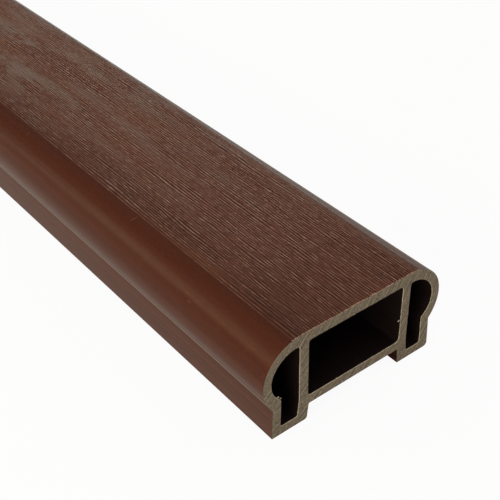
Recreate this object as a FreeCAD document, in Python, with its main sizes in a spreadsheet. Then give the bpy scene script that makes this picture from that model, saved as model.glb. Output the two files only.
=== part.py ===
import FreeCAD, Part
import os
import Sketcher

# Stair handrail length: one hollow extrusion of wood-plastic composite, in millimetres.
# X runs along the rail, Y across it and Z up. The origin is under the middle of the length,
# on the level that the two feet stand on.
#
# Seen from its end the rail has a wide flat top, a round bullnose down each side, a neck below
# each bullnose, and a foot under each side with an open channel between them. A rectangular
# chamber runs through the middle, and a keyhole-shaped chamber through each side.

# Driving dimensions of the section and the length it is sold in.
SIZES = {
    "rail_length": 1800.0,       # a six foot bay between posts
    "rail_width": 100.0,         # over both bullnoses
    "rail_height": 49.5,         # from the soles of the feet to the flat top
    "bullnose_radius": 19.65,    # outer radius of each rounded side
    "bullnose_wall": 4.35,       # its thickness at the widest part of the rail
    "crown_wall": 5.95,          # over a side chamber
    "bore_shift": 2.05,          # the side chamber's round part sits this far outside the nose's
    "top_wall": 5.5,             # under the flat top
    "floor_wall": 4.65,          # under the middle chamber
    "web_wall": 5.0,             # upright between the middle chamber and a side chamber
    "sole_wall": 4.5,            # under a side chamber
    "flank_wall": 4.75,          # outer side of a foot
    "neck_recess": 5.0,          # step in from the bullnose to the foot
    "foot_width": 18.8,          # one foot at its root, from its flank to the channel
    "foot_splay": 0.85,          # how far its flank leans out between the neck and the sole
    "cheek_splay": 0.55,         # how far the channel's cheeks lean out towards the soles
    "slot_width": 8.85,          # side chamber inside the foot
    "slot_splay": 0.85,          # how far the slot's inner face leans out towards the sole
    "slot_toe_splay": 0.4,       # how far its outer face leans out
    "channel_depth": 8.4,        # open channel between the feet
    "chamber_round": 1.7,        # corners of the middle chamber
    "slot_round": 1.0,           # bottom corners of the side chambers
    "crown_round": 1.5,          # top inner corner of the side chambers
    "neck_round": 1.6,           # where a side chamber narrows into the foot
    "sole_round": 1.0,           # outer edges of the feet
    "channel_round": 0.5,        # edges and corners of the channel
}

# Sizes that follow from the driving ones, as formulas in the sheet.
DERIVED = {
    "half_width": "=rail_width / 2",
    "nose_centre_y": "=half_width - bullnose_radius",
    "nose_centre_z": "=rail_height - bullnose_radius",
    "bore_radius": "=bullnose_radius - bullnose_wall - bore_shift",
    "bore_centre_y": "=nose_centre_y + bore_shift",
    "bore_centre_z": "=rail_height - crown_wall - bore_radius",
    "neck_y": "=half_width - neck_recess",
    "channel_y": "=neck_y - foot_width",
    "slot_outer_y": "=neck_y - flank_wall",
    "slot_inner_y": "=slot_outer_y - slot_width",
    "chamber_y": "=slot_inner_y - web_wall",
    "floor_z": "=channel_depth + floor_wall",
    "ceiling_z": "=rail_height - top_wall",
}

# How a sketch numbers the points of a curve, its own axes and its origin.
START, END, CENTRE = range(1, 4)
UPRIGHT_AXIS, LEVEL_AXIS = range(-2, 0)
ORIGIN = (LEVEL_AXIS, START)


def make_sheet(doc):
    """Put every size in the spreadsheet under its own name."""
    sheet = doc.addObject("Spreadsheet::Sheet", "sizes")
    rows = list(SIZES.items()) + list(DERIVED.items())
    for row, (name, value) in enumerate(rows, start=1):
        sheet.set(f"A{row}", name)
        sheet.set(f"B{row}", str(value))
        sheet.setAlias(f"B{row}", name)
    doc.recompute()
    return sheet


def origin_plane(body, role):
    """One of the body's own origin planes."""
    for feature in body.Origin.OriginFeatures:
        if feature.Role == role:
            return feature
    raise ValueError(role)


def section_sketch(body, name):
    """An empty sketch across the rail: its x is the rail's Y, its y is the rail's Z."""
    sketch = body.newObject("Sketcher::SketchObject", name)
    sketch.AttachmentSupport = [(origin_plane(body, "YZ_Plane"), "")]
    sketch.MapMode = "FlatFace"
    return sketch


def bind(sketch, kind, places, size):
    """Add one dimension to a sketch and tie it to the sheet."""
    value = sketch.Document.sizes.get(size)
    index = sketch.addConstraint(Sketcher.Constraint(kind, *places, value))
    sketch.setExpression(f"Constraints[{index}]", f"sizes.{size}")


def line(sketch, start, end):
    """A straight edge between two points of the section."""
    ends = [FreeCAD.Vector(y, z, 0) for y, z in (start, end)]
    return sketch.addGeometry(Part.LineSegment(*ends), False)


def arc(sketch, start, middle, end):
    """A round edge through three points of the section."""
    points = [FreeCAD.Vector(y, z, 0) for y, z in (start, middle, end)]
    return sketch.addGeometry(Part.Arc(*points), False)


def join(sketch, edges):
    """Tie each straight edge's end to the start of the next one."""
    for edge, follower in zip(edges, edges[1:]):
        sketch.addConstraint(Sketcher.Constraint("Coincident", edge, END, follower, START))


def settle(sketch, kind, *curves):
    """Hold each of the curves level or upright."""
    for curve in curves:
        sketch.addConstraint(Sketcher.Constraint(kind, curve))


def mirror_points(sketch, pairs):
    """Hold pairs of points at the same distance on both sides of the upright axis."""
    for left, right in pairs:
        sketch.addConstraint(Sketcher.Constraint("Symmetric", *left, *right, UPRIGHT_AXIS))


def half_chord(radius, offset):
    """Half the height of a circle at a distance from its centre line."""
    return (radius * radius - offset * offset) ** 0.5


def sketch_outline(body, at):
    """The outer outline: flat top, bullnoses, flanks, soles and the channel between the feet."""
    sketch = section_sketch(body, "outline")
    top, roof = at["rail_height"], at["channel_depth"]
    nose_y, nose_z = at["nose_centre_y"], at["nose_centre_z"]
    neck_y, channel_y = at["neck_y"], at["channel_y"]
    neck_z = nose_z - half_chord(at["bullnose_radius"], neck_y - nose_y)
    outer_y = neck_y + at["foot_splay"]
    inner_y = channel_y + at["cheek_splay"]

    crown = line(sketch, (-nose_y, top), (nose_y, top))
    right_nose = arc(sketch, (neck_y, neck_z), (at["half_width"], nose_z), (nose_y, top))
    left_nose = arc(sketch, (-nose_y, top), (-at["half_width"], nose_z), (-neck_y, neck_z))
    right_flank = line(sketch, (neck_y, neck_z), (outer_y, 0))
    right_sole = line(sketch, (outer_y, 0), (inner_y, 0))
    right_cheek = line(sketch, (inner_y, 0), (channel_y, roof))
    ceiling = line(sketch, (channel_y, roof), (-channel_y, roof))
    left_cheek = line(sketch, (-channel_y, roof), (-inner_y, 0))
    left_sole = line(sketch, (-inner_y, 0), (-outer_y, 0))
    left_flank = line(sketch, (-outer_y, 0), (-neck_y, neck_z))

    # The bullnoses run into the flat top without a crease, and meet the flanks at a corner.
    for nose, nose_end, crown_end in ((right_nose, END, END), (left_nose, START, START)):
        sketch.addConstraint(Sketcher.Constraint("Tangent", crown, crown_end, nose, nose_end))
    sketch.addConstraint(Sketcher.Constraint("Coincident", right_nose, START, right_flank, START))
    join(sketch, [right_flank, right_sole, right_cheek, ceiling, left_cheek, left_sole, left_flank])
    sketch.addConstraint(Sketcher.Constraint("Coincident", left_flank, END, left_nose, END))
    mirror_points(sketch, [
        ((left_nose, CENTRE), (right_nose, CENTRE)),
        ((left_flank, END), (right_flank, START)),
        ((left_sole, END), (right_sole, START)),
        ((left_sole, START), (right_sole, END)),
        ((ceiling, END), (ceiling, START)),
    ])
    settle(sketch, "Horizontal", right_sole)
    sketch.addConstraint(Sketcher.Constraint("PointOnObject", right_sole, START, LEVEL_AXIS))

    bind(sketch, "Radius", (right_nose,), "bullnose_radius")
    bind(sketch, "DistanceX", (*ORIGIN, right_nose, CENTRE), "nose_centre_y")
    bind(sketch, "DistanceY", (*ORIGIN, right_nose, CENTRE), "nose_centre_z")
    bind(sketch, "DistanceX", (*ORIGIN, right_flank, START), "neck_y")
    bind(sketch, "DistanceX", (right_flank, START, right_flank, END), "foot_splay")
    bind(sketch, "DistanceX", (right_cheek, END, right_cheek, START), "cheek_splay")
    bind(sketch, "DistanceX", (*ORIGIN, ceiling, START), "channel_y")
    bind(sketch, "DistanceY", (*ORIGIN, ceiling, START), "channel_depth")
    return sketch


def sketch_middle_chamber(body, at):
    """The rectangular chamber between the two webs."""
    sketch = section_sketch(body, "middle_chamber_section")
    side, low, high = at["chamber_y"], at["floor_z"], at["ceiling_z"]
    floor = line(sketch, (-side, low), (side, low))
    right = line(sketch, (side, low), (side, high))
    ceiling = line(sketch, (side, high), (-side, high))
    left = line(sketch, (-side, high), (-side, low))

    join(sketch, [floor, right, ceiling, left, floor])
    settle(sketch, "Vertical", right)
    mirror_points(sketch, [((floor, START), (floor, END)), ((ceiling, END), (ceiling, START))])

    bind(sketch, "DistanceX", (*ORIGIN, floor, END), "chamber_y")
    bind(sketch, "DistanceY", (*ORIGIN, floor, END), "floor_z")
    bind(sketch, "DistanceY", (*ORIGIN, ceiling, START), "ceiling_z")
    return sketch


def sketch_side_chamber(body, at):
    """The right-hand keyhole chamber: round inside the bullnose, a slot inside the foot."""
    sketch = section_sketch(body, "side_chamber_section")
    bore_y, bore_z, radius = at["bore_centre_y"], at["bore_centre_z"], at["bore_radius"]
    inner_y, outer_y = at["slot_inner_y"], at["slot_outer_y"]
    kink_z, sole_z = at["floor_z"], at["sole_wall"]
    heel_y, toe_y = inner_y + at["slot_splay"], outer_y + at["slot_toe_splay"]
    top_z = bore_z + half_chord(radius, inner_y - bore_y)
    neck_z = bore_z - half_chord(radius, outer_y - bore_y)

    # Down the web, across over the sole and back up the flank, then round inside the bullnose.
    web = line(sketch, (inner_y, top_z), (inner_y, kink_z))
    slope = line(sketch, (inner_y, kink_z), (heel_y, sole_z))
    bottom = line(sketch, (heel_y, sole_z), (toe_y, sole_z))
    flank = line(sketch, (toe_y, sole_z), (outer_y, neck_z))
    vault = arc(sketch, (outer_y, neck_z), (bore_y + radius, bore_z), (inner_y, top_z))

    join(sketch, [web, slope, bottom, flank, vault, web])
    settle(sketch, "Vertical", web)
    settle(sketch, "Horizontal", bottom)

    bind(sketch, "Radius", (vault,), "bore_radius")
    bind(sketch, "DistanceX", (*ORIGIN, vault, CENTRE), "bore_centre_y")
    bind(sketch, "DistanceY", (*ORIGIN, vault, CENTRE), "bore_centre_z")
    bind(sketch, "DistanceX", (*ORIGIN, web, END), "slot_inner_y")
    bind(sketch, "DistanceY", (*ORIGIN, web, END), "floor_z")
    bind(sketch, "DistanceX", (*ORIGIN, flank, END), "slot_outer_y")
    bind(sketch, "DistanceY", (*ORIGIN, flank, START), "sole_wall")
    bind(sketch, "DistanceX", (slope, START, slope, END), "slot_splay")
    bind(sketch, "DistanceX", (flank, END, flank, START), "slot_toe_splay")
    return sketch


def extrude(body, sketch, name):
    """The outline drawn through the die, half its length each way from the sketch."""
    pad = body.newObject("PartDesign::Pad", name)
    pad.Profile = sketch
    pad.SideType = "Symmetric"
    pad.setExpression("Length", "sizes.rail_length")
    return pad


def hollow(body, sketch, name):
    """A chamber that runs out through both ends."""
    pocket = body.newObject("PartDesign::Pocket", name)
    pocket.Profile = sketch
    pocket.SideType = "Symmetric"
    pocket.Type = "ThroughAll"
    return pocket


def repeat_on_left(body, feature, name):
    """The same feature again on the rail's other side."""
    mirrored = body.newObject("PartDesign::Mirrored", name)
    mirrored.Originals = [feature]
    mirrored.MirrorPlane = (origin_plane(body, "XZ_Plane"), [""])
    body.Tip = mirrored
    return mirrored


def long_edges(shape, corners):
    """Names of the edges that run the rail's length along these corners and their mirror images."""
    near = 1e-3
    names = []
    for index, edge in enumerate(shape.Edges, start=1):
        middle = edge.BoundBox.Center
        runs_along = edge.BoundBox.YLength < near and edge.BoundBox.ZLength < near
        for y, z in corners:
            if runs_along and abs(abs(middle.y) - y) < near and abs(middle.z - z) < near:
                names.append(f"Edge{index}")
    return names


def round_corners(body, name, corners, size):
    """Round the long edges at some corners of the section, on both sides of the rail."""
    doc = body.Document
    doc.recompute()
    base = body.Tip
    fillet = body.newObject("PartDesign::Fillet", name)
    fillet.Base = (base, long_edges(base.Shape, corners))
    fillet.setExpression("Radius", f"sizes.{size}")
    body.Tip = fillet
    return fillet


def make_handrail(doc, at):
    """The handrail length, as one body."""
    body = doc.addObject("PartDesign::Body", "handrail")
    body.Label = "handrail"
    extrude(body, sketch_outline(body, at), "extrusion")
    hollow(body, sketch_middle_chamber(body, at), "middle_chamber")
    side_chamber = hollow(body, sketch_side_chamber(body, at), "side_chamber")
    repeat_on_left(body, side_chamber, "side_chambers")

    radius = at["bore_radius"]
    top_z = at["bore_centre_z"] + half_chord(radius, at["slot_inner_y"] - at["bore_centre_y"])
    neck_z = at["bore_centre_z"] - half_chord(radius, at["slot_outer_y"] - at["bore_centre_y"])
    sole_y = at["neck_y"] + at["foot_splay"]
    cheek_y = at["channel_y"] + at["cheek_splay"]
    heel_y = at["slot_inner_y"] + at["slot_splay"]
    toe_y = at["slot_outer_y"] + at["slot_toe_splay"]
    round_corners(body, "middle_chamber_corners", [
        (at["chamber_y"], at["floor_z"]), (at["chamber_y"], at["ceiling_z"]),
    ], "chamber_round")
    round_corners(body, "side_chamber_crowns", [(at["slot_inner_y"], top_z)], "crown_round")
    round_corners(body, "side_chamber_necks", [(at["slot_outer_y"], neck_z)], "neck_round")
    round_corners(body, "side_chamber_bottoms", [
        (heel_y, at["sole_wall"]), (toe_y, at["sole_wall"]),
    ], "slot_round")
    round_corners(body, "sole_edges", [(sole_y, 0)], "sole_round")
    round_corners(body, "channel_edges", [
        (cheek_y, 0), (at["channel_y"], at["channel_depth"]),
    ], "channel_round")
    return body


def check(doc, bodies):
    """Stop before anything is written if a feature failed or a solid is not sound."""
    for item in doc.Objects:
        if {"Invalid", "Error"} & set(item.State):
            raise RuntimeError(f"{item.Name}: {item.State}")
    for body in bodies:
        if body.Shape.isNull() or not body.Shape.isValid() or len(body.Shape.Solids) != 1:
            raise RuntimeError(f"{body.Label}: not one sound solid")


def main():
    """Build the handrail and write its solid."""
    doc = FreeCAD.newDocument("stair_handrail")
    sheet = make_sheet(doc)
    at = {name: float(sheet.get(name)) for name in (*SIZES, *DERIVED)}
    bodies = [make_handrail(doc, at)]
    doc.recompute()
    check(doc, bodies)
    os.makedirs("parts", exist_ok=True)
    for body in bodies:
        body.Shape.exportStep(os.path.join("parts", f"{body.Label}.step"))
        size = body.Shape.BoundBox
        print(body.Label, round(size.XLength, 2), round(size.YLength, 2), round(size.ZLength, 2))
        print("volume, cubic millimetres:", round(body.Shape.Volume))


main()
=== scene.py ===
import math

import bmesh
import bpy
from mathutils import Matrix, Vector, noise


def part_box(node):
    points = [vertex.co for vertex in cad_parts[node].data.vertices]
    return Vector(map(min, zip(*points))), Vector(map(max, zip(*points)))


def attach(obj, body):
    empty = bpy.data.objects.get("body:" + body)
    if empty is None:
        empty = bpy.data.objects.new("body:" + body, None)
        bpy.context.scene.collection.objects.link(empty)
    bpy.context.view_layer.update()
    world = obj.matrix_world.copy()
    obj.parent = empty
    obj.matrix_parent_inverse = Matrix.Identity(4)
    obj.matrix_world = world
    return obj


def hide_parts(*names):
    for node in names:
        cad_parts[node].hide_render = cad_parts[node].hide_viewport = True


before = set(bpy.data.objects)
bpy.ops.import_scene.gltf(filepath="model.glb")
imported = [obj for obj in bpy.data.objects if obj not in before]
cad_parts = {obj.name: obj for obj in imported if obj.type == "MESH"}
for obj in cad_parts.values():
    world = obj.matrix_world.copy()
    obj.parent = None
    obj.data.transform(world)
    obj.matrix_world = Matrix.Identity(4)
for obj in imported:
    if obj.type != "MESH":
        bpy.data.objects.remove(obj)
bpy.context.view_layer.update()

# Stair handrail length: a hollow bar of wood-plastic composite, drawn through a die, with a wood
# grain rolled into its flat top and both ends sawn off square. Everything is in metres, in the
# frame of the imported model: X along the rail, Y across it, Z up from the soles of the feet.

MM = 0.001

# The stock's own box.
LOW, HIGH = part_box("handrail")
SHOWN_END, OTHER_END = HIGH.x, LOW.x
TOP = HIGH.z
HALF_WIDTH = HIGH.y

# The section, as the die cuts it.
NOSE_RADIUS = 19.65 * MM
NOSE_WALL = 4.35 * MM
CROWN_WALL = 5.95 * MM
BORE_SHIFT = 2.05 * MM
TOP_WALL = 5.5 * MM
FLOOR_WALL = 4.65 * MM
WEB_WALL = 5.0 * MM
SOLE_WALL = 4.5 * MM
FLANK_WALL = 4.75 * MM
NECK_RECESS = 5.0 * MM
FOOT_WIDTH = 18.8 * MM
FOOT_SPLAY = 0.85 * MM
CHEEK_SPLAY = 0.55 * MM
SLOT_WIDTH = 8.85 * MM
SLOT_SPLAY = 0.85 * MM
TOE_SPLAY = 0.4 * MM
CHANNEL_DEPTH = 8.4 * MM

NOSE_Y = HALF_WIDTH - NOSE_RADIUS
NOSE_Z = TOP - NOSE_RADIUS
BORE_RADIUS = NOSE_RADIUS - NOSE_WALL - BORE_SHIFT
BORE_Y = NOSE_Y + BORE_SHIFT
BORE_Z = TOP - CROWN_WALL - BORE_RADIUS
NECK_Y = HALF_WIDTH - NECK_RECESS
CHANNEL_Y = NECK_Y - FOOT_WIDTH
SLOT_OUTER_Y = NECK_Y - FLANK_WALL
SLOT_INNER_Y = SLOT_OUTER_Y - SLOT_WIDTH
CHAMBER_Y = SLOT_INNER_Y - WEB_WALL
CHAMBER_LOW = CHANNEL_DEPTH + FLOOR_WALL
CHAMBER_HIGH = TOP - TOP_WALL

# The cores that make the chambers hang in the die, and each one sits a little off its place.
MIDDLE_CORE_SHIFT = 0.3 * MM
NEAR_WEB_SHIFT = 0.35 * MM
NEAR_FLANK_SHIFT, FAR_FLANK_SHIFT = 0.3 * MM, -0.1 * MM
NEAR_CHEEK_WEAR = 0.5 * MM

# The grain roller is a little wider than the flat top, so its pattern runs on to the bullnoses.
GRAIN_NEAR = -35.2 * MM
GRAIN_FAR = 35.6 * MM
GRAIN_BORDER = 0.7 * MM      # the width in which the grain fades into the smooth skin
WAVER_BORDER = 5 * MM        # the width in which its lines stop wavering
GRAIN_SLIP = 1.1 * MM        # how far the stock slips sideways under the roller
GRAIN_SPREAD = 3.4 * MM      # how much further the far border of the grain swings out
SLIP_LENGTH = 300 * MM       # the length in which it slips from one side to the other
SLIP_FADE = (0.35, 1.3)      # the turns round a bullnose between which the slip dies out
RIDGE_LEVEL = 0.03 * MM      # how far the tallest ridges stay below the level of the top
RELIEF = 0.24 * MM           # from the tallest ridge to the bottom of the deepest groove
REST_LEVEL = 0.5             # how high between those two the composite lies beside the lines

# Points across the flat top, from its edges to the grain's near and far border, round the rest
# of the bullnoses, and round the bores inside them. Four columns of the flat top's make a line of
# the grain, whose width is in millimetres.
FLAT_COLUMNS = 196
NEAR_COLUMNS, FAR_COLUMNS = 16, 17
NOSE_STEPS, BORE_STEPS = 24, 28
LINE_STEP = 4 * 2 * NOSE_Y / MM / FLAT_COLUMNS
SAME_PLACE = 0.001 * MM      # points closer together than this are one

# Rows of points along the rail: close together by the shown end, wider apart beyond.
END_ROW = 0.7 * MM
FINE_STEP = 1.8 * MM
FINE_REACH = 340 * MM
COARSE_STEP = 20.0 * MM

# The chambers' mouths, where the saw leaves the composite ragged.
MOUTH_STEP = 1.2 * MM        # between the points round a mouth
MOUTH_REACH = 0.9 * MM       # how far in the raggedness goes
MOUTH_ROW = 30 * MM          # how far in the first row of points of the plain wall is
RAGGED_SPAN = 1.1 * MM       # the size of its bites
RAGGED = 0.12 * MM           # and their depth
RAGGED_SEED = 7              # what picks them, so that each run gives the same mouths
RIM_WIDTH = 0.24 * MM

# What each face is, as its material's place on the piece, and what each point knows of the grain:
# the number of its line, how deep the roller bit, and its share of grain against plain skin.
GRAIN, SKIN, SAWN, CHAMBER, RIM, CHANNEL, SCUFF = range(7)
GRAIN_LAYERS = ("grain_line", "grain_bite", "grain_share")

SHARP_ANGLE = math.radians(34)    # a fold sharper than this shows as an edge


def from_hex(text):
    """The linear colour of a written sRGB colour."""
    parts = [int(text[i:i + 2], 16) / 255 for i in (1, 3, 5)]
    linear = [p / 12.92 if p <= 0.04045 else ((p + 0.055) / 1.055) ** 2.4 for p in parts]
    return (*linear, 1.0)


def half_chord(radius, offset):
    """Half the height of a circle at a distance from its centre line."""
    return math.sqrt(radius * radius - offset * offset)


def smooth_step(value, low, high):
    """Rise smoothly from 0 at the low value to 1 at the high one."""
    share = min(1.0, max(0.0, (value - low) / (high - low)))
    return share * share * (3 - 2 * share)


# Drawing the die's outlines

def line_to(bm, pen, y, z):
    """Carry the outline on to a point in a straight run."""
    tip = bmesh.ops.extrude_vert_indiv(bm, verts=[pen])["verts"][0]
    tip.co = (pen.co.x, y, z)
    return tip


def arc_to(bm, pen, centre, turn, steps):
    """Carry the outline on round a centre; a positive turn goes from Y towards Z."""
    made = bmesh.ops.spin(
        bm, geom=[pen], cent=(pen.co.x, *centre), axis=(1, 0, 0), angle=turn, steps=steps)
    return made["geom_last"][0]


def close(bm, pen, start):
    """Bring the outline back to where it began."""
    bm.edges.new((pen, start))


def ease(bm, corner, radius, steps=5):
    """Round one corner of an outline before it is pulled out."""
    before, after = [edge.other_vert(corner).co - corner.co for edge in corner.link_edges]
    turn = math.pi - before.angle(after)
    bmesh.ops.bevel(
        bm, geom=[corner], offset=radius * math.tan(turn / 2), offset_type="OFFSET",
        segments=steps, profile=0.5, affect="VERTICES", material=-1)


def draw_ring(bm, draw, step=None):
    """Draw an outline, with more points along its runs where a step is given: its edges."""
    before = set(bm.edges)
    draw(bm)
    if step:
        for run in [edge for edge in bm.edges if edge not in before]:
            cuts = round(run.calc_length() / step) - 1
            if cuts > 0:
                bmesh.ops.subdivide_edges(bm, edges=[run], cuts=cuts)
    return [edge for edge in bm.edges if edge not in before]


def pull(bm, ring, there, step=None):
    """Pull an outline along the rail to a place, with even rows of points on the way."""
    way = there - ring[0].verts[0].co.x
    made = bmesh.ops.extrude_edge_only(bm, edges=ring)["geom"]
    points = [item for item in made if isinstance(item, bmesh.types.BMVert)]
    fresh = set(points)
    far_ring = [item for item in made if isinstance(item, bmesh.types.BMEdge)
                and item.verts[0] in fresh and item.verts[1] in fresh]
    bmesh.ops.translate(bm, verts=points, vec=(way, 0, 0))
    if step:
        runs = [edge for point in points for edge in point.link_edges
                if edge.other_vert(point) not in fresh]
        bmesh.ops.subdivide_edges(
            bm, edges=runs, cuts=round(abs(way) / step) - 1, use_grid_fill=True)
    return far_ring


def pull_on(bm, ring, stops):
    """Pull an outline through a row of places, each with the step of its rows of points."""
    for there, step in stops:
        ring = pull(bm, ring, there, step)
    return ring


def draw_outside(bm):
    """The outside of the rail: grained top, bullnoses, necks, feet and channel."""
    neck_z = NOSE_Z - half_chord(NOSE_RADIUS, NECK_Y - NOSE_Y)
    near_turn = math.asin((-GRAIN_NEAR - NOSE_Y) / NOSE_RADIUS)
    far_turn = math.asin((GRAIN_FAR - NOSE_Y) / NOSE_RADIUS)
    nose_turn = math.pi / 2 + math.asin((NOSE_Z - neck_z) / NOSE_RADIUS)
    sole_outer, sole_inner = NECK_Y + FOOT_SPLAY, CHANNEL_Y + CHEEK_SPLAY

    start = bm.verts.new((SHOWN_END, -NOSE_Y, TOP))
    pen = start
    for step in range(1, FLAT_COLUMNS + 1):
        pen = line_to(bm, pen, NOSE_Y * (2 * step / FLAT_COLUMNS - 1), TOP)
    pen = arc_to(bm, pen, (NOSE_Y, NOSE_Z), -far_turn, FAR_COLUMNS)
    pen = arc_to(bm, pen, (NOSE_Y, NOSE_Z), far_turn - nose_turn, NOSE_STEPS)
    far_sole = line_to(bm, pen, sole_outer, 0)
    far_heel = line_to(bm, far_sole, sole_inner, 0)
    far_root = line_to(bm, far_heel, CHANNEL_Y, CHANNEL_DEPTH)
    near_root = line_to(bm, far_root, -CHANNEL_Y + NEAR_CHEEK_WEAR, CHANNEL_DEPTH)
    near_heel = line_to(bm, near_root, -sole_inner, 0)
    near_sole = line_to(bm, near_heel, -sole_outer, 0)
    pen = line_to(bm, near_sole, -NECK_Y, neck_z)
    pen = arc_to(bm, pen, (-NOSE_Y, NOSE_Z), near_turn - nose_turn, NOSE_STEPS)
    pen = arc_to(bm, pen, (-NOSE_Y, NOSE_Z), -near_turn, NEAR_COLUMNS)
    bmesh.ops.remove_doubles(bm, verts=[pen, start], dist=SAME_PLACE)

    for corner, radius in ((far_sole, 1.8), (far_heel, 0.3), (far_root, 0.4),
                           (near_root, 0.6), (near_heel, 1.2), (near_sole, 0.3)):
        ease(bm, corner, radius * MM)


def draw_middle_chamber(bm):
    """The wide chamber between the two webs."""
    near_y, far_y = MIDDLE_CORE_SHIFT - CHAMBER_Y, MIDDLE_CORE_SHIFT + CHAMBER_Y
    start = bm.verts.new((SHOWN_END, near_y, CHAMBER_LOW))
    far_low = line_to(bm, start, far_y, CHAMBER_LOW)
    far_high = line_to(bm, far_low, far_y, CHAMBER_HIGH)
    near_high = line_to(bm, far_high, near_y, CHAMBER_HIGH)
    close(bm, near_high, start)
    for corner, radius in ((start, 1.4), (far_low, 2.2), (far_high, 1.5), (near_high, 1.2)):
        ease(bm, corner, radius * MM, 6)


def draw_side_chamber(bm, side, web_y, flank_y, rounds):
    """A keyhole chamber: round inside the bullnose, a slot inside the foot. Side is 1 or -1."""
    top_z = BORE_Z + half_chord(BORE_RADIUS, web_y - BORE_Y)
    neck_z = BORE_Z - half_chord(BORE_RADIUS, flank_y - BORE_Y)
    turn = math.acos((web_y - BORE_Y) / BORE_RADIUS)
    turn += math.acos((flank_y - BORE_Y) / BORE_RADIUS)

    crown = bm.verts.new((SHOWN_END, side * web_y, top_z))
    kink = line_to(bm, crown, side * web_y, CHAMBER_LOW)
    heel = line_to(bm, kink, side * (web_y + SLOT_SPLAY), SOLE_WALL)
    toe = line_to(bm, heel, side * (flank_y + TOE_SPLAY), SOLE_WALL)
    neck = line_to(bm, toe, side * flank_y, neck_z)
    pen = arc_to(bm, neck, (side * BORE_Y, BORE_Z), side * turn, BORE_STEPS)
    bmesh.ops.remove_doubles(bm, verts=[pen, crown], dist=SAME_PLACE)
    for corner, radius in zip((crown, kink, heel, toe, neck), rounds):
        ease(bm, corner, radius * MM, 6)


def draw_far_chamber(bm):
    """The far side's chamber, with the rounds its half of the die has."""
    draw_side_chamber(
        bm, 1, SLOT_INNER_Y, SLOT_OUTER_Y + FAR_FLANK_SHIFT, (1.5, 6.0, 0.9, 0.9, 0.5))


def draw_near_chamber(bm):
    """The near side's chamber: its half of the die is worn rounder at the neck."""
    draw_side_chamber(
        bm, -1, SLOT_INNER_Y - NEAR_WEB_SHIFT, SLOT_OUTER_Y + NEAR_FLANK_SHIFT,
        (1.5, 6.0, 1.2, 0.8, 3.0))


# The grain

def field(x, y, along, across, layer):
    """Smooth noise, drawn out along the rail: sizes in millimetres, a plane for each layer."""
    return noise.noise(Vector((x / along, y / across, 7.3 * layer)))


def waver(x, y):
    """How far a line of the grain strays sideways at a place, in millimetres."""
    return (1.7 * field(x, y, 120, 32, 1) + 0.9 * field(x, y, 85, 6.5, 2)
            + 0.8 * field(x, y, 26, 3.0, 3) + 0.3 * field(x, y, 20, 1.4, 6))


def presence(x, y):
    """How deep the roller bit at a place, 0 to 1: the lines come and go in patches."""
    return smooth_step(field(x, y, 12, 4.2, 4) + 0.4 * field(x, y, 45, 8, 5), -0.7, 0.3)


def move_round(point, reach, side):
    """Set a point of the top at a distance from the middle, measured round the section."""
    turned = max(0.0, reach - NOSE_Y) / NOSE_RADIUS
    outward = Vector((0, side * math.sin(turned), math.cos(turned)))
    point.co.y = side * min(reach, NOSE_Y) + NOSE_RADIUS * outward.y
    point.co.z = NOSE_Z + NOSE_RADIUS * outward.z
    return outward


def roll_grain(bm):
    """Press the grain into the top. The stock slips sideways under the roller, so its lines and
    their columns of points swing and waver; each point then moves in by its line's depth."""
    line_layer, bite_layer, share_layer = [bm.verts.layers.float[name] for name in GRAIN_LAYERS]
    track = {vert for face in bm.faces if face.material_index == GRAIN for vert in face.verts}
    skin = {vert for face in bm.faces if face.material_index == SKIN for vert in face.verts}
    for point in track | {vert for vert in skin if vert.co.z > NOSE_Z}:
        x, y = point.co.x / MM, point.co.y
        side = 1 if y > 0 else -1
        round_nose = math.asin(min(1.0, max(0.0, (abs(y) - NOSE_Y) / NOSE_RADIUS)))
        reach = min(abs(y), NOSE_Y) + NOSE_RADIUS * round_nose
        inside = min(y - GRAIN_NEAR, GRAIN_FAR - y)
        share = smooth_step(inside, 0, GRAIN_BORDER)
        bite = share * presence(x, side * reach / MM)
        line = side * reach / MM / LINE_STEP

        drift = 0.5 - 0.5 * math.cos(math.pi * (SHOWN_END - point.co.x) / SLIP_LENGTH)
        swing = GRAIN_SLIP + GRAIN_SPREAD * smooth_step(y, 0, GRAIN_FAR)
        slip = swing * drift * (1 - smooth_step(round_nose, *SLIP_FADE))
        stray = waver(x, side * reach / MM) * MM * smooth_step(inside, 0, WAVER_BORDER)
        outward = move_round(point, reach + side * (slip + stray), side)
        if point not in skin:
            height = REST_LEVEL + 0.5 * bite * math.cos(2 * math.pi * line)
            point.co -= outward * share * (RIDGE_LEVEL + RELIEF * (1 - height))
        point[line_layer] = line
        point[bite_layer] = bite
        point[share_layer] = share


# Building the rail

def roughen_mouth(ring):
    """The saw leaves a chamber's mouth slightly ragged: its points wander in the cut's plane."""
    noise.seed_set(RAGGED_SEED)
    for point in {vert for edge in ring for vert in edge.verts}:
        across = point.co / RAGGED_SPAN
        spread = noise.noise_vector(Vector((3.1, across.y, across.z)))
        point.co += Vector((0, spread.y, spread.z)) * RAGGED


# A sliver's points, its thickness against its width, and its tip's size against its root's.
SLIVER_SIDES, SLIVER_STEPS = 6, 9
SLIVER_FLATNESS = 0.35
SLIVER_TIP = 0.35


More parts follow.
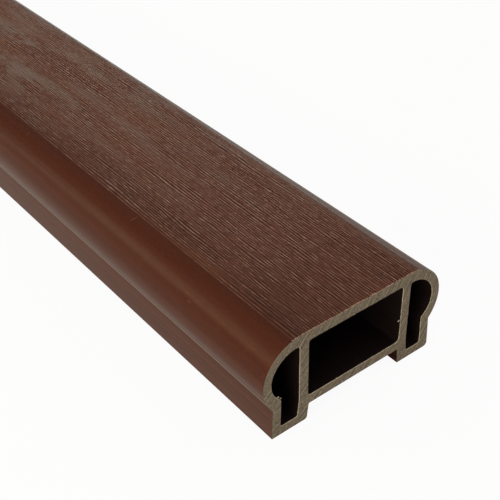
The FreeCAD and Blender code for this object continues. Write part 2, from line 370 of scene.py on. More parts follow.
def hang_sliver(bm, root, away, axis, width, radius, turn, material):
    """A sliver of composite, bent round from its root: it sets out in one direction and turns
    about an axis square to it, flat and tapering. Sizes in millimetres, the turn in degrees."""
    others = set(bm.faces)
    root, away, axis = Vector(root), Vector(away).normalized(), Vector(axis).normalized()
    inward = axis.cross(away)
    facing = Matrix((axis, inward, away)).transposed().to_4x4()
    flat = Matrix.Diagonal((1, SLIVER_FLATNESS, 1, 1))
    ring = bmesh.ops.create_circle(
        bm, segments=SLIVER_SIDES, radius=width / 2 * MM, cap_ends=False,
        matrix=Matrix.Translation(root) @ facing @ flat)["verts"]
    edges = list({edge for vert in ring for edge in vert.link_edges})
    swept = bmesh.ops.spin(
        bm, geom=edges, cent=root + inward * radius * MM, axis=axis,
        angle=math.radians(turn), steps=SLIVER_STEPS)["geom_last"]
    tip = [item for item in swept if isinstance(item, bmesh.types.BMVert)]
    middle = sum((vert.co for vert in tip), Vector()) / len(tip)
    for vert in tip:
        vert.co = middle + (vert.co - middle) * SLIVER_TIP
    tip_edges = [item for item in swept if isinstance(item, bmesh.types.BMEdge)]
    bmesh.ops.edgeloop_fill(bm, edges=edges)
    bmesh.ops.edgeloop_fill(bm, edges=tip_edges)
    for face in set(bm.faces) - others:
        face.material_index = material
        face.smooth = True


def scuff_nose(bm, inward, low_turn, high_turn, width):
    """A scrape round the near bullnose between two turns up from level, lying on the skin: so
    many millimetres in from the shown end, and so many wide."""
    turn = math.radians(low_turn)
    hang_sliver(
        bm, root=(SHOWN_END - inward * MM, -NOSE_Y - NOSE_RADIUS * math.cos(turn),
                  NOSE_Z + NOSE_RADIUS * math.sin(turn)),
        away=(0, math.sin(turn), math.cos(turn)), axis=(-1, 0, 0), width=width,
        radius=NOSE_RADIUS / MM, turn=high_turn - low_turn, material=SCUFF)


# The scuffs: how far in from the shown end, between which turns in degrees, and how wide.
SCUFFS = ((110.7, 64, 71, 0.3), (110.2, 69, 76, 0.25), (212.0, 63, 73, 0.25),
          (53.4, 31, 34, 0.5), (54.6, 32, 34, 0.4))


def leave_slivers():
    """What the saw and the handling left: a nib on the far web and two slivers at the near
    chamber's neck, all just inside the cut, and scuffs on the near bullnose."""
    bm = bmesh.new()
    cut_x = SHOWN_END - 0.45 * MM
    web_y = MIDDLE_CORE_SHIFT + CHAMBER_Y
    hang_sliver(bm, root=(cut_x, web_y + 0.2 * MM, 25.2 * MM), away=(0, -1, 0.3),
                axis=(1, 0, 0), width=0.7, radius=1.1, turn=75, material=RIM)
    hang_sliver(bm, root=(cut_x, -42.9 * MM, 21.6 * MM), away=(0, 0.35, 1),
                axis=(-1, 0, 0), width=0.9, radius=0.8, turn=120, material=RIM)
    hang_sliver(bm, root=(cut_x, -41.2 * MM, 20.1 * MM), away=(0, 0.2, 1),
                axis=(-1, 0, 0), width=0.7, radius=0.7, turn=100, material=RIM)
    for scuff in SCUFFS:
        scuff_nose(bm, *scuff)
    bmesh.ops.recalc_face_normals(bm, faces=bm.faces)
    mesh = bpy.data.meshes.new("slivers")
    bm.to_mesh(mesh)
    bm.free()
    return mesh


def sort_outside(bm):
    """Shade every face smooth, and outside tell the roller's track, the channel and the plain
    skin apart."""
    for face in bm.faces:
        face.smooth = True
        if face.material_index != CHAMBER:
            centre = face.calc_center_median()
            on_track = GRAIN_NEAR < centre.y < GRAIN_FAR and centre.z > NOSE_Z
            in_channel = (abs(centre.y) < CHANNEL_Y + CHEEK_SPLAY
                          and centre.z < CHANNEL_DEPTH + MM)
            face.material_index = GRAIN if on_track else CHANNEL if in_channel else SKIN


def saw_ends(bm, rims):
    """Close both ends with the flat face the saw leaves, round the chambers' mouths."""
    for place in (SHOWN_END, OTHER_END):
        ring = [edge for edge in rims if abs(edge.verts[0].co.x - place) < 0.01 * MM]
        cap = bmesh.ops.triangle_fill(bm, use_beauty=True, edges=ring)["geom"]
        for face in cap:
            if isinstance(face, bmesh.types.BMFace):
                face.material_index = SAWN
    bmesh.ops.recalc_face_normals(bm, faces=bm.faces)


def crease(bm):
    """Keep the shading sharp round the sawn ends and at the section's corners."""
    for edge in bm.edges:
        kinds = {face.material_index for face in edge.link_faces}
        turned = edge.is_manifold and edge.calc_face_angle() > SHARP_ANGLE
        edge.smooth = not (SAWN in kinds or (turned and kinds != {GRAIN}))


def build_rail():
    """The whole rail as one closed skin, with a material for each way a face was made."""
    bm = bmesh.new()
    for name in GRAIN_LAYERS:
        bm.verts.layers.float.new(name)

    chambers = [draw_ring(bm, draw, MOUTH_STEP)
                for draw in (draw_middle_chamber, draw_far_chamber, draw_near_chamber)]
    outside = draw_ring(bm, draw_outside)
    mouths = []
    for ring in chambers:
        last = pull_on(bm, ring, (
            (SHOWN_END - MOUTH_REACH, None), (SHOWN_END - MOUTH_ROW, None),
            (OTHER_END + MOUTH_REACH, None), (OTHER_END, None)))
        roughen_mouth(ring)
        roughen_mouth(last)
        mouths += ring + last
    for face in bm.faces:
        face.material_index = CHAMBER
    last = pull_on(bm, outside, (
        (SHOWN_END - END_ROW, None), (SHOWN_END - FINE_REACH, FINE_STEP),
        (OTHER_END, COARSE_STEP)))
    sort_outside(bm)
    roll_grain(bm)

    saw_ends(bm, outside + last + mouths)
    bmesh.ops.bevel(
        bm, geom=mouths, offset=RIM_WIDTH, offset_type="OFFSET", segments=1, profile=0.5,
        affect="EDGES", material=RIM)
    slivers = leave_slivers()
    bm.from_mesh(slivers)
    bpy.data.meshes.remove(slivers)
    crease(bm)
    return bm


def finish_piece(bm, name, materials):
    """Turn a finished bmesh into a piece of the rail."""
    mesh = bpy.data.meshes.new(name)
    bm.to_mesh(mesh)
    bm.free()
    for material in materials:
        mesh.materials.append(material)
    piece = bpy.data.objects.new(name, mesh)
    bpy.context.scene.collection.objects.link(piece)
    return piece


# Materials

def add(tree, kind, settings=None, inputs=None):
    """Add a node with its settings; each input takes a value or another node's output."""
    made = tree.nodes.new(kind)
    for name, value in (settings or {}).items():
        setattr(made, name, value)
    for name, value in (inputs or {}).items():
        if isinstance(value, bpy.types.NodeSocket):
            tree.links.new(value, made.inputs[name])
        else:
            made.inputs[name].default_value = value
    return made


def new_material(name):
    """An empty material, its node tree and its shader."""
    material = bpy.data.materials.new(name)
    material.use_nodes = True
    tree = material.node_tree
    tree.nodes.clear()
    shader = add(tree, "ShaderNodeBsdfPrincipled")
    add(tree, "ShaderNodeOutputMaterial", inputs={"Surface": shader.outputs[0]})
    return material, tree, shader


def stretched(along, across):
    """The scale of a pattern drawn out along the rail, from its sizes along it and across."""
    return (1 / along, 1 / across, 1 / across)


# The embossed grain's marks: how long a stretch of lines fades or stands out as one, how long a
# ridge goes on before it breaks off, and how long the fibres between the lines are.
RUN_LENGTH = 5.5 * MM
BREAK_LENGTH = 3.6 * MM
FIBRE_LENGTH = 5 * MM


def grain_marks(tree, line, x):
    """What the thin pale ridges and thin dark grooves add to the grain's level. They break off
    and start again, and stand out less by the shown end."""
    crest = add(tree, "ShaderNodeMath", {"operation": "ROUND"}, {0: line}).outputs[0]
    off_crest = add(tree, "ShaderNodeMath", {"operation": "SUBTRACT"}, {
        0: line, 1: crest}).outputs[0]
    away = add(tree, "ShaderNodeMath", {"operation": "ABSOLUTE"}, {0: off_crest}).outputs[0]
    ridge = add(tree, "ShaderNodeMapRange", {"interpolation_type": "SMOOTHSTEP"}, {
        "Value": away, "From Min": 0.27, "From Max": 0.05}).outputs[0]
    groove = add(tree, "ShaderNodeMapRange", {"interpolation_type": "SMOOTHSTEP"}, {
        "Value": away, "From Min": 0.24, "From Max": 0.44}).outputs[0]

    broken = add(tree, "ShaderNodeTexNoise", inputs={
        "Vector": add(tree, "ShaderNodeCombineXYZ", inputs={
            0: add(tree, "ShaderNodeMath", {"operation": "DIVIDE"}, {
                0: x, 1: BREAK_LENGTH}).outputs[0],
            1: add(tree, "ShaderNodeMath", {"operation": "MULTIPLY"}, {
                0: crest, 1: 5.3}).outputs[0]}).outputs[0],
        "Scale": 1.0, "Detail": 2.0, "Roughness": 0.6}).outputs[0]
    pale = add(tree, "ShaderNodeMath", {"operation": "MULTIPLY"}, {
        0: ridge, 1: add(tree, "ShaderNodeMapRange", inputs={
            "Value": broken, "From Min": 0.35, "From Max": 0.6,
            "To Min": 0.06, "To Max": 0.32}).outputs[0]}).outputs[0]
    mark = add(tree, "ShaderNodeMath", {"operation": "MULTIPLY_ADD"}, {
        0: groove, 1: -0.155, 2: pale}).outputs[0]

    run = add(tree, "ShaderNodeTexNoise", inputs={
        "Vector": add(tree, "ShaderNodeCombineXYZ", inputs={
            0: add(tree, "ShaderNodeMath", {"operation": "DIVIDE"}, {
                0: x, 1: RUN_LENGTH}).outputs[0],
            1: add(tree, "ShaderNodeMath", {"operation": "MULTIPLY"}, {
                0: line, 1: 0.55}).outputs[0],
            2: 40.0}).outputs[0],
        "Scale": 1.0, "Detail": 2.0, "Roughness": 0.6}).outputs[0]
    sharp = add(tree, "ShaderNodeMapRange", inputs={
        "Value": x, "From Min": SHOWN_END - 110 * MM, "From Max": SHOWN_END - 10 * MM,
        "To Min": 1.08, "To Max": 0.78}).outputs[0]
    contrast = add(tree, "ShaderNodeMapRange", inputs={
        "Value": run, "From Min": 0.36, "From Max": 0.64,
        "To Min": 0.2, "To Max": sharp}).outputs[0]
    return add(tree, "ShaderNodeMath", {"operation": "MULTIPLY"}, {
        0: mark, 1: contrast}).outputs[0]


def grain_level(tree, line, axes):
    """How pale the grain is at a place, from 0 to 1: its relief, its fibres and its marks. Painted
    shade makes it darker along the near border and by the shown end."""
    bite = add(tree, "ShaderNodeAttribute", {"attribute_name": "grain_bite"}).outputs["Fac"]
    wave = add(tree, "ShaderNodeMath", {"operation": "COSINE"}, {
        0: add(tree, "ShaderNodeMath", {"operation": "MULTIPLY"}, {
            0: line, 1: 2 * math.pi}).outputs[0]}).outputs[0]
    height = add(tree, "ShaderNodeMath", {"operation": "MULTIPLY_ADD"}, {
        0: add(tree, "ShaderNodeMath", {"operation": "MULTIPLY"}, {
            0: wave, 1: bite}).outputs[0],
        1: 0.5, 2: REST_LEVEL}).outputs[0]
    fibre = add(tree, "ShaderNodeTexNoise", inputs={
        "Vector": add(tree, "ShaderNodeCombineXYZ", inputs={
            0: add(tree, "ShaderNodeMath", {"operation": "DIVIDE"}, {
                0: axes["X"], 1: FIBRE_LENGTH}).outputs[0],
            1: add(tree, "ShaderNodeMath", {"operation": "MULTIPLY"}, {
                0: line, 1: 1.7}).outputs[0],
            2: 80.0}).outputs[0],
        "Scale": 1.0, "Detail": 1.0, "Roughness": 0.6}).outputs[0]
    streak = add(tree, "ShaderNodeMapRange", inputs={
        "Value": fibre, "From Min": 0.3, "From Max": 0.7,
        "To Min": 0.06, "To Max": 0.24}).outputs[0]
    level = add(tree, "ShaderNodeMath", {"operation": "MULTIPLY_ADD"}, {
        0: height, 1: 0.25, 2: streak}).outputs[0]
    # Painted shade: the grain darker towards the near border.
    near_border_shade = add(tree, "ShaderNodeMapRange", inputs={
        "Value": axes["Y"], "From Min": -36 * MM, "From Max": -8 * MM,
        "To Min": -0.1, "To Max": 0.0}).outputs[0]
    # Painted shade: the grain darker over the last 60 mm to the shown end.
    fresh = add(tree, "ShaderNodeMapRange", inputs={
        "Value": axes["X"], "From Min": SHOWN_END - 60 * MM, "From Max": SHOWN_END,
        "To Min": -0.005, "To Max": -0.085}).outputs[0]
    for change in (grain_marks(tree, line, axes["X"]), near_border_shade, fresh):
        level = add(tree, "ShaderNodeMath", {"operation": "ADD"}, {
            0: level, 1: change}).outputs[0]
    return level


def wear_and_sheen_grain(tree, tone, place, axes):
    """Turn the grain a pinkish grey in drawn-out patches, partly wear and partly a painted sheen,
    more of it further from the shown end and less along the near border, and leave it warmer in
    broad clouds."""
    sheen = add(tree, "ShaderNodeTexNoise", inputs={
        "Vector": add(tree, "ShaderNodeMapping", inputs={
            "Vector": place, "Location": (11, 11, 11),
            "Scale": stretched(65 * MM, 10 * MM)}).outputs[0],
        "Scale": 1.0, "Detail": 2.0, "Roughness": 0.5}).outputs[0]
    scratch = add(tree, "ShaderNodeTexNoise", inputs={
        "Vector": add(tree, "ShaderNodeMapping", inputs={
            "Vector": place, "Location": (4, 4, 4),
            "Scale": stretched(15 * MM, 1.7 * MM)}).outputs[0],
        "Scale": 1.0, "Detail": 2.0, "Roughness": 0.6}).outputs[0]
    patch = add(tree, "ShaderNodeMath", {"operation": "MULTIPLY_ADD"}, {
        0: sheen, 1: 1.5, 2: scratch}).outputs[0]
    wear_and_sheen_reach = add(tree, "ShaderNodeMapRange", inputs={
        "Value": axes["X"], "From Min": SHOWN_END - 60 * MM, "From Max": SHOWN_END - 290 * MM,
        "To Min": 0.06, "To Max": 0.75}).outputs[0]
    spared = add(tree, "ShaderNodeMapRange", inputs={
        "Value": axes["Y"], "From Min": -32 * MM, "From Max": -12 * MM,
        "To Min": 0.25, "To Max": 1.0}).outputs[0]
    # The reach of wear and of painted sheen: more of both further from the shown end.
    worn = add(tree, "ShaderNodeMath", {"operation": "MULTIPLY"}, {
        0: wear_and_sheen_reach, 1: spared}).outputs[0]
    # Pinkish grey patches: wear, and a painted sheen.
    rubbed_and_sheen = add(tree, "ShaderNodeMix", {"data_type": "RGBA"}, {
        0: add(tree, "ShaderNodeMapRange", inputs={
            "Value": patch, "From Min": 1.18, "From Max": 1.5, "To Max": worn}).outputs[0],
        6: tone, 7: from_hex("#705f55")}).outputs[2]

    cloud = add(tree, "ShaderNodeTexNoise", inputs={
        "Vector": add(tree, "ShaderNodeMapping", inputs={
            "Vector": place, "Location": (6, 6, 6),
            "Scale": stretched(110 * MM, 16 * MM)}).outputs[0],
        "Scale": 1.0, "Detail": 1.0, "Roughness": 0.5}).outputs[0]
    return add(tree, "ShaderNodeMix", {"data_type": "RGBA"}, {
        0: add(tree, "ShaderNodeMapRange", inputs={
            "Value": cloud, "From Min": 0.45, "From Max": 0.65, "To Max": 0.3}).outputs[0],
        6: rubbed_and_sheen, 7: from_hex("#6b442c")}).outputs[2]


def fray_and_highlight_ends(tree, tone, place, x):
    """Leave a thin pale fringe, ragged along both ends: grain the saw tore, with a painted
    highlight along the cut edge.
    """
    along = add(tree, "ShaderNodeMath", {"operation": "ABSOLUTE"}, {0: x}).outputs[0]
    tooth = add(tree, "ShaderNodeTexNoise", inputs={
        "Vector": add(tree, "ShaderNodeMapping", inputs={
            "Vector": place, "Location": (9, 9, 9),
            "Scale": stretched(1.5 * MM, 0.7 * MM)}).outputs[0],
        "Scale": 1.0, "Detail": 2.0, "Roughness": 0.6}).outputs[0]
    ragged = add(tree, "ShaderNodeMath", {"operation": "MULTIPLY_ADD"}, {
        0: tooth, 1: 2.0 * MM, 2: along}).outputs[0]
    # The pale fringe is torn grain and a painted highlight along the cut edge.
    return add(tree, "ShaderNodeMix", {"data_type": "RGBA"}, {
        0: add(tree, "ShaderNodeMapRange", inputs={
            "Value": ragged, "From Min": SHOWN_END + 0.6 * MM,
            "From Max": SHOWN_END + 0.9 * MM}).outputs[0],
        6: tone, 7: from_hex("#b08a74")}).outputs[2]


def embossed_grain():
    """Wood-plastic composite with a rolled grain: thin pale ridges and thin dark grooves that
    break off and start again, pinkish grey in places from wear and a painted sheen, with painted
    shade along the near border and by the shown end."""
    material, tree, shader = new_material("embossed_composite_grain")
    line = add(tree, "ShaderNodeAttribute", {"attribute_name": "grain_line"}).outputs["Fac"]
    share = add(tree, "ShaderNodeAttribute", {"attribute_name": "grain_share"}).outputs["Fac"]
    place = add(tree, "ShaderNodeTexCoord").outputs["Object"]
    axes = add(tree, "ShaderNodeSeparateXYZ", inputs={0: place}).outputs
    level = grain_level(tree, line, axes)
    tone = add(tree, "ShaderNodeValToRGB", inputs={0: level})
    stops = tone.color_ramp.elements
    stops[0].color = from_hex("#27120a")
    stops[1].color = from_hex("#b4a08f")
    for stop, colour in ((0.15, "#472416"), (0.33, "#603627"), (0.5, "#7c5a4a")):
        stops.new(stop).color = from_hex(colour)

    worn = wear_and_sheen_grain(tree, tone.outputs[0], place, axes)
    bordered = add(tree, "ShaderNodeMix", {"data_type": "RGBA"}, {
        0: share, 6: from_hex("#482518"), 7: worn}).outputs[2]
    finish = fray_and_highlight_ends(tree, bordered, place, axes["X"])
    bump = add(tree, "ShaderNodeBump", inputs={
        "Height": level, "Distance": 0.2 * MM, "Strength": share})
    tree.links.new(finish, shader.inputs["Base Color"])
    shader.inputs["Roughness"].default_value = 0.6
    shader.inputs["Specular IOR Level"].default_value = 0.12
    tree.links.new(bump.outputs[0], shader.inputs["Normal"])
    return material


# Nicks in the die score the flanks and the bullnoses: the height of each score in millimetres
# and its depth as a share of the deepest one's, then how far a score reaches up and down.
DIE_SCORES = ((10.1, 0.2), (24.6, 1.0))
SCORE_REACH = 0.8


def paint_nose_reflection(tree, tone, z):
    """Paint a pale grey reflection on the bullnoses' lower edges, between the neck and their
    widest part.
    """
    low = add(tree, "ShaderNodeMapRange", {"interpolation_type": "SMOOTHSTEP"}, {
        "Value": z, "From Min": 23.6 * MM, "From Max": 20.4 * MM}).outputs[0]
    above = add(tree, "ShaderNodeMapRange", {"interpolation_type": "SMOOTHSTEP"}, {
        "Value": z, "From Min": 15.5 * MM, "From Max": 16.5 * MM}).outputs[0]
    reflection_band = add(tree, "ShaderNodeMath", {"operation": "MULTIPLY"}, {0: low, 1: above}).outputs[0]
    # Painted reflection: a pale grey of the floor on the bullnoses' lower edges.
    return add(tree, "ShaderNodeMix", {"data_type": "RGBA"}, {
        0: add(tree, "ShaderNodeMath", {"operation": "MULTIPLY"}, {
            0: reflection_band, 1: 0.56}).outputs[0],
        6: tone, 7: from_hex("#7a7267")}).outputs[2]


def die_scores(tree, z):
    """White all the way up the section, with a dip at each of the die's scores: it sets the
    score's groove and the painted shade in it.
    """
    up = add(tree, "ShaderNodeMath", {"operation": "DIVIDE"}, {0: z, 1: TOP}).outputs[0]
    scores = add(tree, "ShaderNodeValToRGB", inputs={0: up})
    stops = scores.color_ramp.elements
    stops[0].color = stops[1].color = (1, 1, 1, 1)
    for height, depth in DIE_SCORES:
        for shift, level in ((-SCORE_REACH, 1.0), (0.0, 1.0 - depth), (SCORE_REACH, 1.0)):
            stops.new((height + shift) * MM / TOP).color = (level, level, level, 1)
    return scores.outputs[0]


def extruded_skin():
    """Wood-plastic composite as it leaves the die: a smooth red-brown skin, barely streaked,
    that turns grey at a glancing angle; faint die lines run along it, and two scores darkened
    with painted shade, and a pale grey reflection is painted on the bullnoses' lower edges."""
    material, tree, shader = new_material("extruded_composite_skin")
    place = add(tree, "ShaderNodeTexCoord").outputs["Object"]
    z = add(tree, "ShaderNodeSeparateXYZ", inputs={0: place}).outputs["Z"]
    die_lines = add(tree, "ShaderNodeTexNoise", inputs={
        "Vector": add(tree, "ShaderNodeMapping", inputs={
            "Vector": place, "Scale": stretched(1400 * MM, 0.9 * MM)}).outputs[0],
        "Scale": 1.0, "Detail": 1.0, "Roughness": 0.6}).outputs[0]
    streaks = add(tree, "ShaderNodeTexNoise", inputs={
        "Vector": add(tree, "ShaderNodeMapping", inputs={
            "Vector": place, "Location": (2, 2, 2),
            "Scale": stretched(320 * MM, 4.5 * MM)}).outputs[0],
        "Scale": 1.0, "Detail": 2.0, "Roughness": 0.5}).outputs[0]
    mottle = add(tree, "ShaderNodeTexNoise", inputs={
        "Vector": add(tree, "ShaderNodeMapping", inputs={
            "Vector": place, "Location": (5, 5, 5),
            "Scale": stretched(2.2 * MM, 1.0 * MM)}).outputs[0],
        "Scale": 1.0, "Detail": 3.0, "Roughness": 0.7}).outputs[0]
    tone = add(tree, "ShaderNodeMix", {"data_type": "RGBA"}, {
        0: add(tree, "ShaderNodeMapRange", inputs={
            "Value": streaks, "From Min": 0.32, "From Max": 0.68}).outputs[0],
        6: from_hex("#402018"), 7: from_hex("#4b281c")}).outputs[2]
    speckled = add(tree, "ShaderNodeMix", {"data_type": "RGBA"}, {
        0: add(tree, "ShaderNodeMapRange", inputs={
            "Value": mottle, "From Min": 0.5, "From Max": 0.8, "To Max": 0.35}).outputs[0],
        6: tone, 7: from_hex("#5f3828")}).outputs[2]
    scores = die_scores(tree, z)
    # The scores' dark colour is painted shade in their grooves; their bump is the groove itself.
    finish = add(tree, "ShaderNodeMix", {"data_type": "RGBA"}, {
        0: scores, 6: from_hex("#3a1c14"), 7: paint_nose_reflection(tree, speckled, z)}).outputs[2]
    scored = add(tree, "ShaderNodeBump", inputs={
        "Height": scores, "Distance": 0.22 * MM, "Strength": 1.0})
    lined = add(tree, "ShaderNodeBump", inputs={
        "Height": die_lines, "Distance": 0.12 * MM, "Strength": 0.12,
        "Normal": scored.outputs[0]})
    peel = add(tree, "ShaderNodeBump", inputs={
        "Height": mottle, "Distance": 0.02 * MM, "Strength": 0.5, "Normal": lined.outputs[0]})
    tree.links.new(finish, shader.inputs["Base Color"])
    shader.inputs["Roughness"].default_value = 0.37
    shader.inputs["Specular IOR Level"].default_value = 0.08
    shader.inputs["Specular Tint"].default_value = from_hex("#ffe2a8")
    tree.links.new(peel.outputs[0], shader.inputs["Normal"])
    return material


def channel_skin():
    """The skin inside the channel, which nothing brushes or rolls: dull, and painted darker with
    the shadow under the rail.
    """
    material, tree, shader = new_material("channel_composite_painted_shade")
    streaks = add(tree, "ShaderNodeTexNoise", inputs={
        "Vector": add(tree, "ShaderNodeMapping", inputs={
            "Vector": add(tree, "ShaderNodeTexCoord").outputs["Object"],
            "Location": (3, 3, 3), "Scale": stretched(320 * MM, 2.5 * MM)}).outputs[0],
        "Scale": 1.0, "Detail": 2.0, "Roughness": 0.5}).outputs[0]
    # Painted shade: the channel's colours are darker for the shadow under the rail.
    tone = add(tree, "ShaderNodeMix", {"data_type": "RGBA"}, {
        0: add(tree, "ShaderNodeMapRange", inputs={
            "Value": streaks, "From Min": 0.32, "From Max": 0.68}).outputs[0],
        6: from_hex("#2b1917"), 7: from_hex("#37211e")}).outputs[2]
    tree.links.new(tone, shader.inputs["Base Color"])
    shader.inputs["Roughness"].default_value = 0.8
    shader.inputs["Specular IOR Level"].default_value = 0.0
    return material


# The saw's centre, seen from the shown end: its teeth leave arcs about this point.
SAW_CENTRE = Vector((0, -128 * MM, 126 * MM))
TOOTH_STEP = 1.3 * MM


def sawn_end():
    """Raw composite where the saw cut it: grey-olive wood flour, with arcs left by the teeth."""
    material, tree, shader = new_material("sawn_composite_end")
    place = add(tree, "ShaderNodeTexCoord").outputs["Object"]
    flat = add(tree, "ShaderNodeVectorMath", {"operation": "MULTIPLY"}, {
        0: place, 1: (0, 1, 1)}).outputs[0]
    radius = add(tree, "ShaderNodeVectorMath", {"operation": "DISTANCE"}, {
        0: flat, 1: SAW_CENTRE}).outputs["Value"]
    drift = add(tree, "ShaderNodeTexNoise", inputs={
        "Vector": flat, "Scale": 1 / (14 * MM), "Detail": 1.0}).outputs[0]
    teeth = add(tree, "ShaderNodeMath", {"operation": "MULTIPLY_ADD"}, {
        0: drift, 1: 1.5 * MM, 2: radius}).outputs[0]
    marks = add(tree, "ShaderNodeTexNoise", {"noise_dimensions": "1D"}, {
        "W": teeth, "Scale": 1 / TOOTH_STEP, "Detail": 2.0, "Roughness": 0.6}).outputs[0]
    flour = add(tree, "ShaderNodeTexNoise", inputs={
        "Vector": place, "Scale": 1 / (1.1 * MM), "Detail": 3.0, "Roughness": 0.65}).outputs[0]
    blotch = add(tree, "ShaderNodeTexNoise", inputs={
        "Vector": flat, "Scale": 1 / (7 * MM), "Detail": 2.0}).outputs[0]
    base = add(tree, "ShaderNodeMix", {"data_type": "RGBA"}, {
        0: add(tree, "ShaderNodeMapRange", inputs={
            "Value": marks, "From Min": 0.34, "From Max": 0.65}).outputs[0],
        6: from_hex("#564c3f"), 7: from_hex("#8a7f6d")}).outputs[2]
    speck = add(tree, "ShaderNodeMix", {"data_type": "RGBA"}, {
        0: add(tree, "ShaderNodeMapRange", inputs={
            "Value": flour, "From Min": 0.56, "From Max": 0.72}).outputs[0],
        6: base, 7: from_hex("#a29682")}).outputs[2]
    dirt = add(tree, "ShaderNodeMix", {"data_type": "RGBA"}, {
        0: add(tree, "ShaderNodeMapRange", inputs={
            "Value": flour, "From Min": 0.46, "From Max": 0.34, "To Max": 0.7}).outputs[0],
        6: speck, 7: from_hex("#4a4035")}).outputs[2]
    tone = add(tree, "ShaderNodeMix", {"data_type": "RGBA"}, {
        0: add(tree, "ShaderNodeMapRange", inputs={
            "Value": blotch, "From Min": 0.4, "From Max": 0.7, "To Max": 0.4}).outputs[0],
        6: dirt, 7: from_hex("#7d7058")}).outputs[2]
    height = add(tree, "ShaderNodeMath", {"operation": "MULTIPLY_ADD"}, {
        0: flour, 1: 0.4, 2: marks}).outputs[0]
    bump = add(tree, "ShaderNodeBump", inputs={
        "Height": height, "Distance": 0.14 * MM, "Strength": 0.8})
    tree.links.new(tone, shader.inputs["Base Color"])
    shader.inputs["Roughness"].default_value = 0.82
    shader.inputs["Specular IOR Level"].default_value = 0.25
    tree.links.new(bump.outputs[0], shader.inputs["Normal"])
    return material


def torn_rim():
    """The burr that the saw turns over at a chamber's mouth: paler than the cut beside it, as the
    burr's own colour and as a painted highlight on the rim.
    """
    material, tree, shader = new_material("torn_mouth_rim_highlight")
    flour = add(tree, "ShaderNodeTexNoise", inputs={
        "Vector": add(tree, "ShaderNodeTexCoord").outputs["Object"],
        "Scale": 1 / (0.8 * MM), "Detail": 2.0, "Roughness": 0.6}).outputs[0]
    # The pale colour is the burr's own and a painted highlight on the rim.
    tone = add(tree, "ShaderNodeMix", {"data_type": "RGBA"}, {
        0: add(tree, "ShaderNodeMapRange", inputs={
            "Value": flour, "From Min": 0.35, "From Max": 0.65}).outputs[0],
        6: from_hex("#85785f"), 7: from_hex("#c6b9a0")}).outputs[2]
    tree.links.new(tone, shader.inputs["Base Color"])
    shader.inputs["Roughness"].default_value = 0.8
    shader.inputs["Specular IOR Level"].default_value = 0.25
    return material


def scuffed_skin():
    """Skin scraped up in handling: the composite's wood flour shows paler along the scrape."""
    material, tree, shader = new_material("scuffed_composite_skin")
    flour = add(tree, "ShaderNodeTexNoise", inputs={
        "Vector": add(tree, "ShaderNodeTexCoord").outputs["Object"],
        "Scale": 1 / (0.5 * MM), "Detail": 2.0, "Roughness": 0.6}).outputs[0]
    tone = add(tree, "ShaderNodeMix", {"data_type": "RGBA"}, {
        0: add(tree, "ShaderNodeMapRange", inputs={
            "Value": flour, "From Min": 0.35, "From Max": 0.65}).outputs[0],
        6: from_hex("#643a2b"), 7: from_hex("#784939")}).outputs[2]
    tree.links.new(tone, shader.inputs["Base Color"])
    shader.inputs["Roughness"].default_value = 0.7
    shader.inputs["Specular IOR Level"].default_value = 0.1
    return material


def chamber_wall():
    """The inside of the extrusion, never brushed or rolled: a maroon skin painted near black with
    the chambers' shade.
    """
    material, tree, shader = new_material("chamber_wall_painted_shade")
    lines = add(tree, "ShaderNodeTexNoise", inputs={
        "Vector": add(tree, "ShaderNodeMapping", inputs={
            "Vector": add(tree, "ShaderNodeTexCoord").outputs["Object"],
            "Scale": stretched(700 * MM, 1.1 * MM)}).outputs[0],
        "Scale": 1.0, "Detail": 2.0, "Roughness": 0.6}).outputs[0]
    # Painted shade: near black for the shade deep in the chambers.
    tone = add(tree, "ShaderNodeMix", {"data_type": "RGBA"}, {
        0: add(tree, "ShaderNodeMapRange", inputs={
            "Value": lines, "From Min": 0.3, "From Max": 0.7}).outputs[0],
        6: from_hex("#0f0606"), 7: from_hex("#170b0a")}).outputs[2]
    tree.links.new(tone, shader.inputs["Base Color"])
    shader.inputs["Roughness"].default_value = 0.65
    shader.inputs["Specular IOR Level"].default_value = 0.15
    return material


# The studio

FLOOR_SIZE = 60.0            # half a side of the floor, so that no view shows its edge


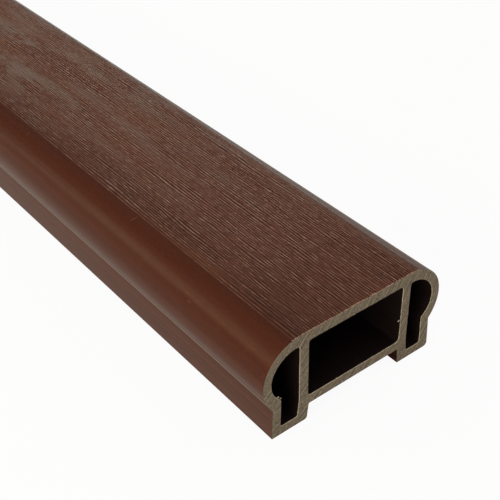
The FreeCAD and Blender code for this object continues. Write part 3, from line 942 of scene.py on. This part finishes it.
def studio_floor():
    """A plain white floor that keeps a soft shadow; in a gloss it is a touch warm, and falls
    off a little behind the rail."""
    bm = bmesh.new()
    bmesh.ops.create_grid(bm, x_segments=1, y_segments=1, size=FLOOR_SIZE)
    material, tree, shader = new_material("white_studio_floor")
    shader.inputs["Base Color"].default_value = from_hex("#f4f4f4")
    shader.inputs["Roughness"].default_value = 0.9
    shader.inputs["Specular IOR Level"].default_value = 0.0
    rays = add(tree, "ShaderNodeLightPath").outputs
    seen = add(tree, "ShaderNodeMath", {"operation": "MAXIMUM"}, {
        0: rays["Is Camera Ray"], 1: rays["Is Glossy Ray"]}).outputs[0]
    seen = add(tree, "ShaderNodeMath", {"operation": "MAXIMUM"}, {
        0: seen, 1: rays["Is Transmission Ray"]}).outputs[0]
    paper = add(tree, "ShaderNodeMix", {"data_type": "RGBA"}, {
        0: rays["Is Glossy Ray"], 6: from_hex("#ffffff"), 7: from_hex("#fffef0")}).outputs[2]
    place = add(tree, "ShaderNodeSeparateXYZ", inputs={
        0: add(tree, "ShaderNodeTexCoord").outputs["Object"]}).outputs
    behind = add(tree, "ShaderNodeMapRange", inputs={
        "Value": place["Y"], "From Min": 0.08, "From Max": 0.5, "To Max": 0.4}).outputs[0]
    fallen = add(tree, "ShaderNodeMath", {"operation": "MULTIPLY"}, {
        0: rays["Is Glossy Ray"], 1: behind}).outputs[0]
    bright = add(tree, "ShaderNodeMath", {"operation": "SUBTRACT"}, {0: 1.0, 1: fallen}).outputs[0]
    white = add(tree, "ShaderNodeEmission", inputs={"Color": paper, "Strength": bright})
    share = add(tree, "ShaderNodeMath", {"operation": "MULTIPLY"}, {0: seen, 1: 0.94}).outputs[0]
    mixed = add(tree, "ShaderNodeMixShader", inputs={
        0: share, 1: shader.outputs[0], 2: white.outputs[0]})
    output = next(node for node in tree.nodes if node.type == "OUTPUT_MATERIAL")
    tree.links.new(mixed.outputs[0], output.inputs["Surface"])
    floor = finish_piece(bm, "studio_floor", [material])


def softbox(name, place, target, length, height, power, colour="#ffffff"):
    """A soft lamp, level along its length, that looks at a point of the rail."""
    lamp = bpy.data.lights.new(name, "AREA")
    lamp.shape = "RECTANGLE"
    lamp.size = length
    lamp.size_y = height
    lamp.energy = power
    lamp.color = from_hex(colour)[:3]
    holder = bpy.data.objects.new(name, lamp)
    holder.location = place
    holder.rotation_euler = (Vector(target) - Vector(place)).to_track_quat("-Z", "Y").to_euler()
    bpy.context.scene.collection.objects.link(holder)


def fill_air():
    """White screens low behind the rail and a dim room on the camera's side, which the rail's
    gloss shows, while the background itself is white from every side."""
    world = bpy.data.worlds.new("studio_air")
    world.use_nodes = True
    tree = world.node_tree
    way = add(tree, "ShaderNodeSeparateXYZ", inputs={
        0: add(tree, "ShaderNodeTexCoord").outputs["Generated"]}).outputs
    screens = add(tree, "ShaderNodeMix", {"data_type": "RGBA"}, {
        0: add(tree, "ShaderNodeMapRange", inputs={
            "Value": way["Z"], "From Min": 0.1, "From Max": 0.5}).outputs[0],
        6: from_hex("#fff9f1"), 7: from_hex("#a8a7a4")}).outputs[2]
    room = add(tree, "ShaderNodeMix", {"data_type": "RGBA"}, {
        0: add(tree, "ShaderNodeMapRange", inputs={
            "Value": way["Z"], "From Min": 0.05, "From Max": 0.35}).outputs[0],
        6: from_hex("#77756b"), 7: from_hex("#4e4d4a")}).outputs[2]
    behind = add(tree, "ShaderNodeMapRange", inputs={
        "Value": way["Y"], "From Min": -0.15, "From Max": 0.45}).outputs[0]
    air = add(tree, "ShaderNodeMix", {"data_type": "RGBA"}, {
        0: behind, 6: room, 7: screens}).outputs[2]
    bright = add(tree, "ShaderNodeMath", {"operation": "MULTIPLY_ADD"}, {
        0: behind, 1: 0.3, 2: 1.0}).outputs[0]
    rays = add(tree, "ShaderNodeLightPath").outputs
    seen = add(tree, "ShaderNodeMath", {"operation": "MAXIMUM"}, {
        0: rays["Is Camera Ray"], 1: rays["Is Transmission Ray"]}).outputs[0]
    backdrop = add(tree, "ShaderNodeMix", {"data_type": "RGBA"}, {
        0: seen, 6: air, 7: from_hex("#ffffff")}).outputs[2]
    strength = add(tree, "ShaderNodeMix", inputs={0: seen, 2: bright, 3: 1.0}).outputs[0]
    tree.links.new(backdrop, tree.nodes["Background"].inputs["Color"])
    tree.links.new(strength, tree.nodes["Background"].inputs["Strength"])
    bpy.context.scene.world = world


def light_studio():
    """A wide lamp low on the near side, one above, and a long low one on either side."""
    shown = (SHOWN_END - 0.15, 0, 0.03)
    softbox("near_side_softbox", (1.25, -1.15, 0.42), shown, 0.8, 0.8, 9.6, "#fff1e6")
    softbox("overhead_softbox", (0.9, -0.2, 1.7), shown, 1.2, 1.2, 8.0)
    softbox("near_strip", (-0.1, -1.05, 0.56), (-0.1, 0, 0.04), 1.2, 0.25, 11.0, "#fff2e0")
    softbox("far_strip", (-0.3, 1.0, 0.29), (-0.3, 0, 0.04), 1.6, 0.2, 4.4, "#fffaf0")


# The camera, placed as the photograph was taken.
CAMERA_PLACE = (1.115855, -0.219957, 0.308641)
CAMERA_FORWARD = (-0.6335128, 0.4844471, -0.6033014)
CAMERA_RIGHT = (0.6183774, 0.7856644, -0.0184605)
CAMERA_LENS = 70.669


def place_camera():
    """The photograph's camera: just past the shown end, on the near side, looking down."""
    lens = bpy.data.cameras.new("photo_camera")
    lens.lens = CAMERA_LENS
    lens.sensor_width = 36.0
    lens.clip_start = 0.01
    camera = bpy.data.objects.new("photo_camera", lens)
    right, back = Vector(CAMERA_RIGHT), -Vector(CAMERA_FORWARD)
    turn = Matrix((right, back.cross(right), back)).transposed()
    camera.matrix_world = Matrix.Translation(CAMERA_PLACE) @ turn.to_4x4()
    bpy.context.scene.collection.objects.link(camera)
    bpy.context.scene.camera = camera


rail = finish_piece(build_rail(), "grained_rail", [
    embossed_grain(), extruded_skin(), sawn_end(), chamber_wall(), torn_rim(), channel_skin(),
    scuffed_skin()])
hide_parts("handrail")
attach(rail, "root")

studio_floor()
fill_air()
light_studio()
place_camera()
bpy.context.scene.view_settings.view_transform = "Standard"
